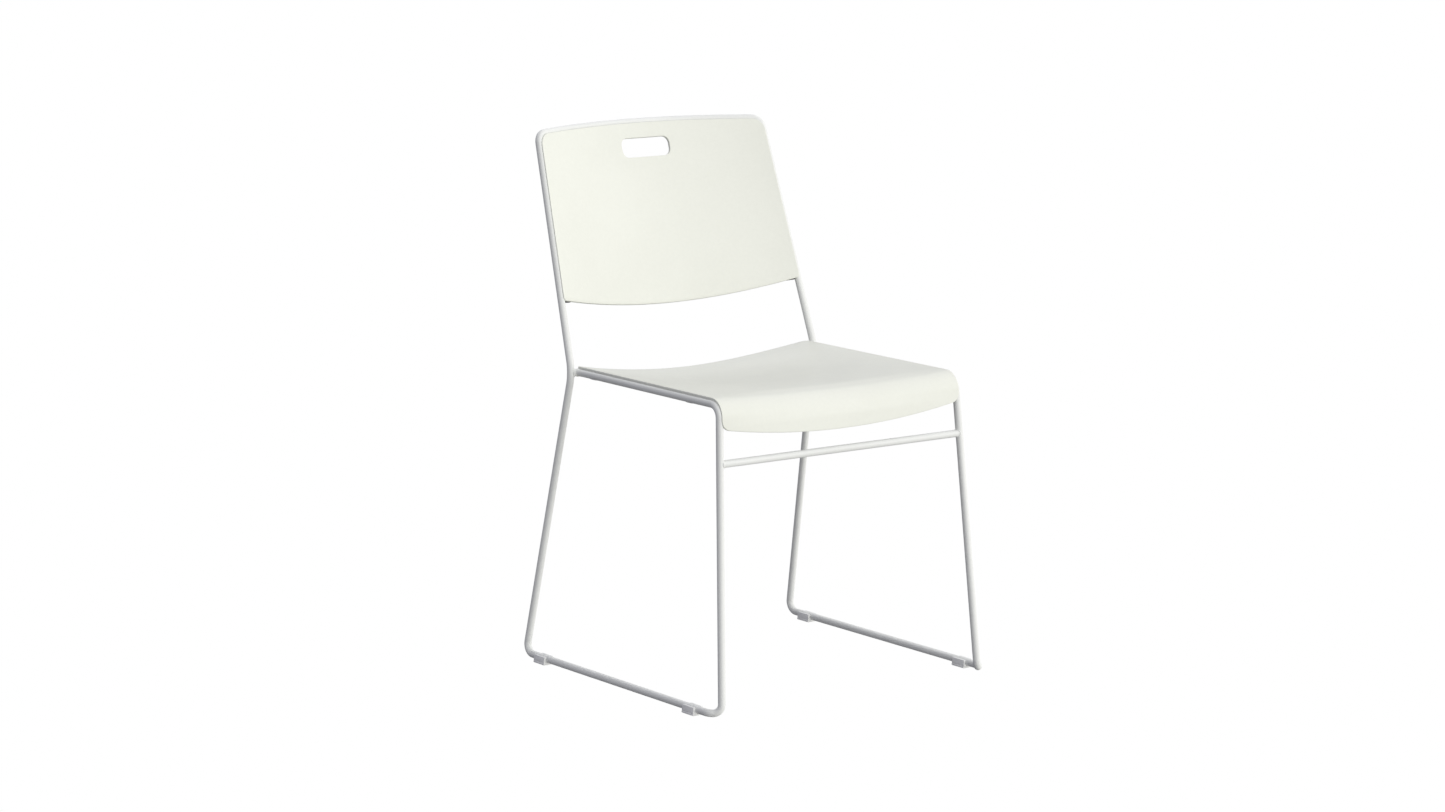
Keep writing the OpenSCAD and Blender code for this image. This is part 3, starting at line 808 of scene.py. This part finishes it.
bm = bmesh.new()
outline = hole_rim(BACK_LIP)
HOLE_RINGS = 5
skins = {}
for key, rear in (("front", False), ("rear", True)):

    def place(x, s, rear=rear):
        return back_point(x, back_rear_n(x, s) if rear else face_n(x, s, 0), s)

    g = grid(bm, back_rows, cols, lambda j, i: place(*places[j][i]))
    for j in range(r0 + 1, r1):
        for i in range(c0 + 1, c1):
            bm.verts.remove(g[j][i])
    grid_faces(bm, g, in_block)
    outer = block_rim(g)
    outer_xs = block_rim(places)
    previous = outer
    for ring in range(1, HOLE_RINGS + 1):
        f = smooth(ring / HOLE_RINGS) * 0.35 + ring / HOLE_RINGS * 0.65
        loop = [
            bm.verts.new(place(a[0] + (b[0] - a[0]) * f, a[1] + (b[1] - a[1]) * f))
            for a, b in zip(outer_xs, outline)
        ]
        for k in range(len(loop)):
            l = (k + 1) % len(loop)
            bm.faces.new((previous[k], previous[l], loop[l], loop[k]))
        previous = loop
    skins[key] = (g, previous)
back_mid = back_point(0, 0, 240)
lip(bm, rim(skins["front"][0]), rim(skins["rear"][0]), lambda p: back_mid - p, BACK_LIP)
hole_mid = back_point(0, face_n(0, HOLE_S, 0), HOLE_S)
lip(bm, skins["front"][1], skins["rear"][1], lambda p: p - hole_mid, BACK_LIP)

PAD_GAP = 0.4  # air between the shell and the tabs and clips behind it
COLLAR_ROOT = 0.1  # how far a collar is let into the shell's rear face


def fix_x(s):
    return upright_x(s) - BACK_SCREW_IN


PAD_Z = SHELL_T + PAD_GAP
origin = back_point(0, 0, 0)


def fixing_axes(side, s):
    """On the front face at a fixing: the point, the way outwards, and the way square to the rear."""
    x, phi = fix_x(s), math.asin(fix_x(s) / curve_r)
    at = back_point(side * x, face_n(x, s, 0), s)
    across = back_point(side * math.cos(phi), -math.sin(phi), 0) - origin
    rear = back_point(side * math.sin(phi), math.cos(phi), 0) - origin
    return at, across, rear


for side in (1, -1):
    for s in (UPPER_TAB_S, CLIP_S):
        at, across_dir, rear_dir = fixing_axes(side, s)
        # a short collar all but fills the gap between the shell and the tab or clip behind it
        base = at + rear_dir * (SHELL_T - COLLAR_ROOT)
        length = PAD_GAP + COLLAR_ROOT - JOINT_GAP
        add_boss(bm, base, rear_dir, length, BOSS_R, SCREW_R + JOINT_GAP, 0.15)
stand_for(make_object("back_shell_look", bm, shell_mat, 50), "shell_plastic", "back_shell")


# ---------------------------------------------------------------- plates, clips, glides and screws
def bevel_sharp(bm, offset, segments=3, angle=30.0):
    edges = [e for e in bm.edges if len(e.link_faces) == 2 and e.calc_face_angle(0) > math.radians(angle)]
    bmesh.ops.bevel(
        bm, geom=edges, offset=offset, segments=segments, profile=0.5, affect="EDGES", clamp_overlap=True
    )


def extruded(profile, length):
    """A prism from a closed profile in the XZ plane, centred along Y."""
    bm = bmesh.new()
    a = [bm.verts.new((x, -length / 2, z)) for x, z in profile]
    b = [bm.verts.new((x, length / 2, z)) for x, z in profile]
    bm.faces.new(a)
    bm.faces.new(list(reversed(b)))
    for k in range(len(profile)):
        l = (k + 1) % len(profile)
        bm.faces.new((a[k], b[k], b[l], a[l]))
    bmesh.ops.recalc_face_normals(bm, faces=bm.faces)
    return bm


def merge(target, source, matrix):
    """Adds a bmesh to another, placed by a matrix."""
    source.transform(matrix)
    made = {}
    for v in source.verts:
        made[v] = target.verts.new(v.co)
    for f in source.faces:
        target.faces.new([made[v] for v in f.verts])
    source.free()


def cut(obj, cutter_bm):
    """Cuts a closed bmesh, in millimetres, out of an object, and applies it."""
    bmesh.ops.recalc_face_normals(cutter_bm, faces=cutter_bm.faces)
    bmesh.ops.scale(cutter_bm, vec=(MM, MM, MM), verts=cutter_bm.verts)
    mesh = bpy.data.meshes.new("cutter")
    cutter_bm.to_mesh(mesh)
    cutter_bm.free()
    cutter = bpy.data.objects.new("cutter", mesh)
    scene.collection.objects.link(cutter)
    mod = obj.modifiers.new("cut", "BOOLEAN")
    mod.operation = "DIFFERENCE"
    mod.solver = "EXACT"
    mod.object = cutter
    bpy.context.view_layer.update()
    dg = bpy.context.evaluated_depsgraph_get()
    made = bpy.data.meshes.new_from_object(obj.evaluated_get(dg))
    obj.modifiers.clear()
    obj.data = made
    bpy.data.objects.remove(cutter)
    for poly in made.polygons:
        poly.use_smooth = True
    made.set_sharp_from_angle(angle=math.radians(35))


def axes(at, x, z):
    """A matrix that puts local X along x and local Z along z, at a point."""
    z = z.normalized()
    x = (x - z * x.dot(z)).normalized()
    y = z.cross(x)
    return Matrix(((x.x, y.x, z.x, at.x), (x.y, y.y, z.y, at.y), (x.z, y.z, z.z, at.z), (0, 0, 0, 1)))


def drum(r, h, sides=32):
    bm = bmesh.new()
    bmesh.ops.create_cone(bm, cap_ends=True, segments=sides, radius1=r, radius2=r, depth=h)
    return bm


def add_tab(name, matrix, node_name):
    """A pressed steel tab, its screw hole at the origin and its squarer end out along +X, at the rod."""
    w, l, t = TAB_IN + TAB_OUT, TAB_L, TAB_T
    shift = (TAB_OUT - TAB_IN) / 2
    outline = []
    for cx, cy, a0 in ((1, 1, 0), (-1, 1, 90), (-1, -1, 180), (1, -1, 270)):
        r = TAB_CORNER_R if cx < 0 else WELDED_CORNER_R
        for k in range(7):
            a = math.radians(a0 + 15 * k)
            outline.append((cx * (w / 2 - r) + r * math.cos(a) + shift, cy * (l / 2 - r) + r * math.sin(a)))
    bm = bmesh.new()
    low = [bm.verts.new((x, y, 0)) for x, y in outline]
    top = [bm.verts.new((x, y, t)) for x, y in outline]
    bm.faces.new(list(reversed(low)))
    bm.faces.new(top)
    for k in range(len(outline)):
        m = (k + 1) % len(outline)
        bm.faces.new((low[k], low[m], top[m], top[k]))
    bmesh.ops.recalc_face_normals(bm, faces=bm.faces)
    bevel_sharp(bm, 0.35, 3, 50)
    bm.transform(matrix)
    obj = make_object(name, bm, paint, 35)
    hole = drum(SCREW_HOLE_R, 4 * t)
    hole.transform(matrix)
    cut(obj, hole)
    stand_for(obj, "frame_paint", node_name)


for side, hand in ((1, "right"), (-1, "left")):
    for y, end_name in ((FRONT_TAB_Y, "front"), (REAR_TAB_Y, "rear")):
        at = vec(side * SCREW_X, y, rail_z(y) - TAB_DROP - TAB_T / 2)
        matrix = axes(at, vec(side, 0, 0), vec(0, 0, 1))
        add_tab(f"{end_name}_{hand}_seat_tab_look", matrix, f"{end_name}_{hand}_seat_tab")
    at, across_dir, rear_dir = fixing_axes(side, UPPER_TAB_S)
    matrix = axes(at + rear_dir * PAD_Z, across_dir, rear_dir)
    add_tab(f"upper_{hand}_back_tab_look", matrix, f"upper_{hand}_back_tab")

    # black clip: a moulded block that hugs the inner side of the upright
    at, across_dir, rear_dir = fixing_axes(side, CLIP_S)
    to_rod = back_point(side * upright_x(CLIP_S), 0, CLIP_S) - at
    rod_x, rod_z = to_rod.dot(across_dir), to_rod.dot(rear_dir)
    x_in, x_out, top_z = -CLIP_IN, CLIP_W - CLIP_IN, PAD_Z + CLIP_T
    arc_r = ROD_R + JOINT_GAP
    profile = [(x_out, top_z), (x_in, top_z), (x_in, PAD_Z)]
    start = math.asin((PAD_Z - rod_z) / arc_r)
    end = math.acos((rod_x - x_out) / arc_r)
    for k in range(13):
        a = start + (end - start) * k / 12
        profile.append((rod_x - arc_r * math.cos(a), rod_z + arc_r * math.sin(a)))
    clip = extruded(profile, CLIP_H)
    bevel_sharp(clip, 0.6, 4, 55)
    # local X outwards, local Y along the back, local Z to the rear
    up = back_point(0, 0, 1) - origin
    clip.transform(
        Matrix(
            (
                (across_dir.x, up.x, rear_dir.x, at.x),
                (across_dir.y, up.y, rear_dir.y, at.y),
                (across_dir.z, up.z, rear_dir.z, at.z),
                (0, 0, 0, 1),
            )
        )
    )
    clip_obj = make_object(f"lower_{hand}_back_clip_look", clip, clip_mat, 35)
    hole = drum(SCREW_HOLE_R, 40)
    hole.transform(axes(at, across_dir, rear_dir))
    cut(clip_obj, hole)
    stand_for(clip_obj, "clip_plastic", f"lower_{hand}_back_clip")

    # glides: a saddle that grips the runner, with eased edges and a grip rib along each flank
    for y, end_name in ((FRONT_GLIDE_Y, "front"), (REAR_GLIDE_Y, "rear")):
        w, h, dr = GLIDE_W / 2, GLIDE_H, GLIDE_DRAFT

        def flank(z):
            return w - dr * z / h

        mouth_a = math.acos(GLIDE_MOUTH / 2 / ROD_R)
        right = [(0, 0), (w - 1.2, 0), (w, 1.0), (flank(3.0), 3.0), (flank(3.0) - 0.45, 3.35),
                 (flank(4.0) - 0.45, 4.0), (flank(4.3), 4.35), (flank(h), h),
                 (GLIDE_MOUTH / 2 + 0.55, h), (GLIDE_MOUTH / 2, h - 0.7)]
        arc = []
        for k in range(0, 13):
            a = mouth_a + (-math.pi / 2 - mouth_a) * k / 12
            arc.append((ROD_R * math.cos(a), RUNNER_Z + ROD_R * math.sin(a)))
        half = right + arc
        profile = half[1:-1] + [half[-1]] + [(-x, z) for x, z in reversed(half[1:-1])] + [(0, 0)]
        glide = extruded(profile, GLIDE_L)
        bevel_sharp(glide, 0.4, 3, 35)
        glide.transform(Matrix.Translation((side * RUNNER_X, y, 0)))
        glide_name = f"{end_name}_{hand}_glide"
        stand_for(make_object(f"{glide_name}_look", glide, glide_mat, 35), "glide_plastic", glide_name)


def cross_recess(depth, r_out, arm):
    """A cross-shaped tapering cutter, its wide end at z 0 and its point below."""
    bm = bmesh.new()
    ring = [(arm, arm), (arm, r_out), (-arm, r_out), (-arm, arm), (-r_out, arm), (-r_out, -arm),
            (-arm, -arm), (-arm, -r_out), (arm, -r_out), (arm, -arm), (r_out, -arm), (r_out, arm)]
    layers = []
    for z, k in ((0.4, 1.06), (0, 1.0), (-depth, 0.45)):
        layers.append([bm.verts.new((x * k, y * k, z)) for x, y in ring])
    for p, q in zip(layers, layers[1:]):
        for i in range(len(ring)):
            j = (i + 1) % len(ring)
            bm.faces.new((p[i], p[j], q[j], q[i]))
    bm.faces.new(layers[0])
    bm.faces.new(list(reversed(layers[-1])))
    return bm


def screws(name, places, node_name):
    """Pan-head screws: each place is (point under the head, direction out of the head, shank length)."""
    bm = bmesh.new()
    cutter = bmesh.new()
    for at, out, shank in places:
        u = out.orthogonal().normalized()
        v = out.cross(u)
        section = [(0.0, -shank), (1.1, -shank), (SCREW_R, -shank + 0.9), (SCREW_R, -0.4), (SCREW_R, 0.0)]
        section += [(SCREW_HEAD_R - 0.2, 0.0), (SCREW_HEAD_R, 0.25), (SCREW_HEAD_R, 1.0), (3.75, 1.55),
                    (3.2, 1.98), (2.3, 2.28), (1.2, 2.38), (0.0, SCREW_HEAD_H)]
        loops = []
        for r, h in section:
            if r == 0:
                loops.append([bm.verts.new(at + out * h)])
            else:
                angles = [2 * math.pi * k / SCREW_SIDES for k in range(SCREW_SIDES)]
                around = [(u * math.cos(a) + v * math.sin(a)) * r for a in angles]
                loops.append([bm.verts.new(at + out * h + offset) for offset in around])
        for p, q in zip(loops, loops[1:]):
            for k in range(SCREW_SIDES):
                l = (k + 1) % SCREW_SIDES
                if len(p) == 1:
                    bm.faces.new((p[0], q[l], q[k]))
                elif len(q) == 1:
                    bm.faces.new((p[k], p[l], q[0]))
                else:
                    bm.faces.new((p[k], p[l], q[l], q[k]))
        recess = cross_recess(RECESS_DEPTH, RECESS_R, RECESS_ARM)
        merge(cutter, recess, axes(at + out * SCREW_HEAD_H, u, out))
    obj = make_object(name, bm, screw_mat, 35)
    cut(obj, cutter)
    stand_for(obj, "screw_steel", node_name)


seat_places = [
    (vec(side * SCREW_X, y, rail_z(y) - TAB_DROP - TAB_T / 2), vec(0, 0, -1), SEAT_SHANK)
    for side in (1, -1)
    for y in (FRONT_TAB_Y, REAR_TAB_Y)
]
screws("seat_screws_look", seat_places, "seat_screws")

back_places = []
for side in (1, -1):
    for s, t in ((UPPER_TAB_S, TAB_T), (CLIP_S, CLIP_T)):
        at, across_dir, rear_dir = fixing_axes(side, s)
        back_places.append((at + rear_dir * (PAD_Z + t), rear_dir, PAD_Z + t - SHANK_SUNK))
screws("back_screws_look", back_places, "back_screws")

# CAD nodes that stay hidden still carry their finish
for name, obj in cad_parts.items():
    for made, mat in (("rod", paint), ("bar", paint), ("tab", paint), ("shell", shell_mat),
                      ("glide", glide_mat), ("clip", clip_mat), ("screws", screw_mat)):
        if made in name:
            obj.data.materials.clear()
            obj.data.materials.append(mat)

# ---------------------------------------------------------------- stage: floor, light and camera
floor_bm = bmesh.new()
bmesh.ops.create_grid(floor_bm, x_segments=8, y_segments=8, size=40000)
floor_mat = bpy.data.materials.new("pale_floor")
floor_mat.use_nodes = True
ft = floor_mat.node_tree
ft.nodes.clear()
f_out = node(ft, "ShaderNodeOutputMaterial")
f_glow = node(ft, "ShaderNodeEmission")
f_glow.inputs["Color"].default_value = (1, 1, 1, 1)
f_glow.inputs["Strength"].default_value = 1.0
ft.links.new(f_glow.outputs["Emission"], f_out.inputs["Surface"])
floor = make_object("floor", floor_bm, floor_mat)
floor.location.z = -0.0002  # a hair below the glides' soles
floor.visible_diffuse = False
floor.visible_glossy = False

# The room: a very wide soft light from the front right, and a dimmer sky
world = bpy.data.worlds.new("studio")
scene.world = world
world.use_nodes = True
wt = world.node_tree
wt.nodes.clear()


def facing(direction, low, high, to_low, to_high):
    """A smooth ramp over how far a ray from the room turns towards a direction."""
    dot = node(wt, "ShaderNodeVectorMath", operation="DOT_PRODUCT")
    dot.inputs[1].default_value = Vector(direction).normalized()
    wt.links.new(w_coords.outputs["Generated"], dot.inputs[0])
    ramp = node(wt, "ShaderNodeMapRange", interpolation_type="SMOOTHSTEP")
    for key, value in (("From Min", low), ("From Max", high), ("To Min", to_low), ("To Max", to_high)):
        ramp.inputs[key].default_value = value
    wt.links.new(dot.outputs["Value"], ramp.inputs["Value"])
    return ramp


def background(colour):
    n = node(wt, "ShaderNodeBackground")
    n.inputs["Color"].default_value = (*colour, 1)
    n.inputs["Strength"].default_value = 1.0
    return n


w_coords = node(wt, "ShaderNodeTexCoord")
w_dome = background((1.0, 1.0, 0.945))
w_sky = background((0.96, 0.97, 1.09))
front_right = facing((0.68, -0.71, 0.17), -0.15, 0.4, 0.0, 0.86)
wt.links.new(front_right.outputs["Result"], w_dome.inputs["Strength"])
overhead = facing((0, 0, 1), -0.5, 0.5, 0.12, 0.42)
wt.links.new(overhead.outputs["Result"], w_sky.inputs["Strength"])
w_sum = node(wt, "ShaderNodeAddShader")
wt.links.new(w_dome.outputs["Background"], w_sum.inputs[0])
wt.links.new(w_sky.outputs["Background"], w_sum.inputs[1])
w_path = node(wt, "ShaderNodeLightPath")
w_mix = node(wt, "ShaderNodeMixShader")
w_out = node(wt, "ShaderNodeOutputWorld")
wt.links.new(w_path.outputs["Is Camera Ray"], w_mix.inputs["Fac"])
wt.links.new(w_sum.outputs["Shader"], w_mix.inputs[1])
wt.links.new(background((1, 1, 1)).outputs["Background"], w_mix.inputs[2])
wt.links.new(w_mix.outputs["Shader"], w_out.inputs["Surface"])


def softbox(name, at, aim, width, height, power, colour=(1, 1, 1)):
    data = bpy.data.lights.new(name, "AREA")
    data.shape = "RECTANGLE"
    data.size, data.size_y = width, height
    data.energy = power
    data.color = colour
    obj = bpy.data.objects.new(name, data)
    obj.location = at
    obj.rotation_euler = (Vector(aim) - Vector(at)).to_track_quat("-Z", "Y").to_euler()
    scene.collection.objects.link(obj)


softbox("key", (1.9, -3.6, 1.5), (0, 0, 0.45), 2.4, 2.0, 19, (1.0, 1.0, 0.94))
softbox("rear", (0.8, 3.2, 2.4), (0, 0, 0.5), 2.6, 2.2, 20, (0.98, 0.99, 1.0))

camera_data = bpy.data.cameras.new("camera")
camera_data.lens = 100
camera_data.sensor_width = 36
camera_data.sensor_fit = "HORIZONTAL"
camera_data.clip_end = 200
camera = bpy.data.objects.new("camera", camera_data)
camera.location = (-3.5412, -4.8199, 1.4179)
camera.rotation_euler = (math.radians(80.301), 0, math.radians(-36.019))
scene.collection.objects.link(camera)
scene.camera = camera
scene.view_settings.view_transform = "Standard"
